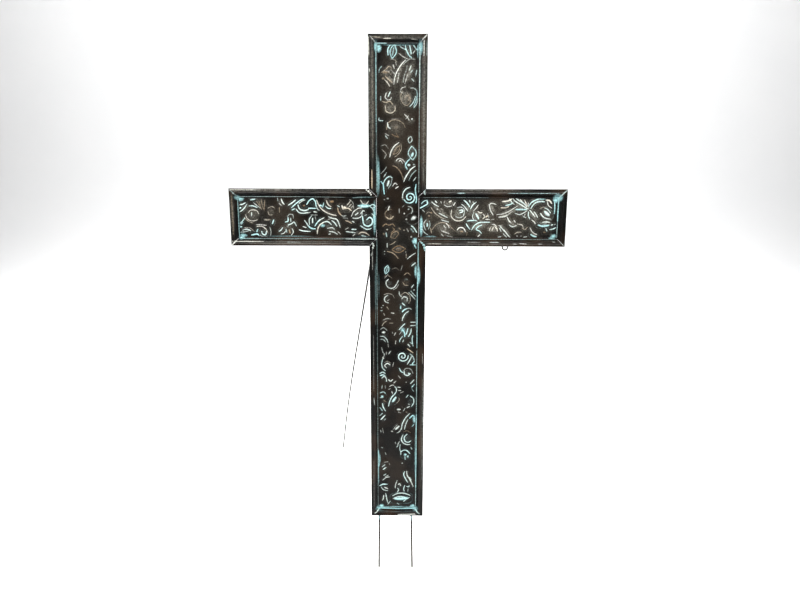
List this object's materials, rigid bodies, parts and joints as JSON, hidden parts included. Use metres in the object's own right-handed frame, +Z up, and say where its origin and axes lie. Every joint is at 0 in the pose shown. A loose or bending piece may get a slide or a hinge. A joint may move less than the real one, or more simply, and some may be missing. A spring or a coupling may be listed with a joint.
{
  "type": "embossed sheet metal memorial cross on stakes",
  "caption": "Tall Latin cross of folded moulding and embossed scrollwork panels, standing on thin rod stakes with a thin rod leg behind.",
  "frame": {"origin": "on the floor, under the middle of the whole object's bounding box, stakes in front and rear leg behind", "axes": "+Z up, -Y out of the embossed front, +X to the right as seen from the front"},
  "size_m": [0.61, 0.525, 1.0341],
  "materials": {
    "moulding": "black-brown gloss paint on folded sheet, silvery dry-brushed ribs and a turquoise inner lip",
    "embossed_panel": "black-brown gloss paint on embossed sheet, ridges rubbed pale silver and turquoise",
    "rod": "black painted steel wire with pale turquoise overspray in places"
  },
  "bodies": {
    "root": {"top_end_rail": "moulding", "bottom_end_rail": "moulding", "left_end_rail": "moulding", "right_end_rail": "moulding", "upper_left_post_rail": "moulding", "upper_right_post_rail": "moulding", "lower_left_post_rail": "moulding", "lower_right_post_rail": "moulding", "left_arm_top_rail": "moulding", "left_arm_bottom_rail": "moulding", "right_arm_top_rail": "moulding", "right_arm_bottom_rail": "moulding", "post_panel": "embossed_panel", "left_arm_panel": "embossed_panel", "right_arm_panel": "embossed_panel", "left_stake": "rod", "right_stake": "rod", "rear_leg": "rod", "arm_wire_loop": "rod"}
  },
  "joints": []
}
